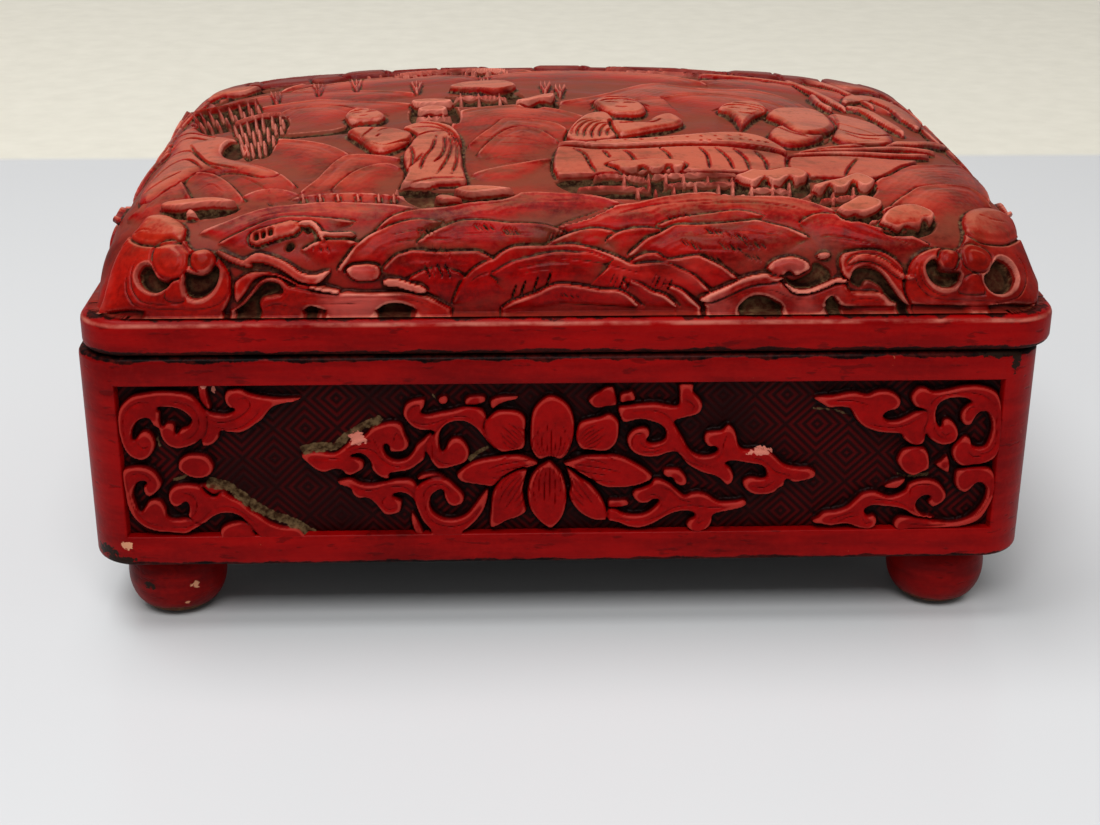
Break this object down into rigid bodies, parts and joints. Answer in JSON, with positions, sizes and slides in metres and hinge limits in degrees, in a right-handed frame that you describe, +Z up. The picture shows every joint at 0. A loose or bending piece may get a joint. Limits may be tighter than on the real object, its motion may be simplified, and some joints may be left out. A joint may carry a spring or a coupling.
{
  "type": "carved lacquer box",
  "caption": "Rectangular red lacquer box on bun feet, with carved sides and a deep carved cushion-shaped lid that lifts off; black inside.",
  "frame": {"origin": "on the surface it stands on, under the middle of the body", "axes": "+Z up, -Y towards the front long side, +X to the right seen from the front"},
  "size_m": [0.18, 0.141, 0.0898],
  "materials": {
    "body_cinnabar": "thick carved red lacquer, semi-gloss, darker in the cut ground and worn to brown-black on its edges",
    "lid_cinnabar": "thick carved red lacquer, semi-gloss, with a dusty brown ground and worn ridges",
    "black_lacquer": "thin smooth black lacquer",
    "core_wood": "plain sawn softwood"
  },
  "bodies": {
    "box": {"foot_front_left": "body_cinnabar", "foot_front_right": "body_cinnabar", "foot_back_left": "body_cinnabar", "foot_back_right": "body_cinnabar", "base_coat": "black_lacquer", "floor_board": "core_wood", "floor_lining": "black_lacquer", "front_wall": "core_wood", "back_wall": "core_wood", "left_wall": "core_wood", "right_wall": "core_wood", "front_lip": "black_lacquer", "back_lip": "black_lacquer", "left_lip": "black_lacquer", "right_lip": "black_lacquer", "body_lacquer": "body_cinnabar", "front_carved_field": "body_cinnabar", "back_carved_field": "body_cinnabar", "left_carved_field": "body_cinnabar", "right_carved_field": "body_cinnabar"},
    "lid": {"lid_front_rail": "core_wood", "lid_back_rail": "core_wood", "lid_left_rail": "core_wood", "lid_right_rail": "core_wood", "lid_board": "core_wood", "lid_lining": "black_lacquer", "lid_band": "lid_cinnabar", "lid_carved_dome": "lid_cinnabar"}
  },
  "joints": [
    {"name": "lid_lift", "type": "slide", "parent": "box", "child": "lid", "axis": [0, 0, 1], "range_m": [0, 0.06]}
  ]
}
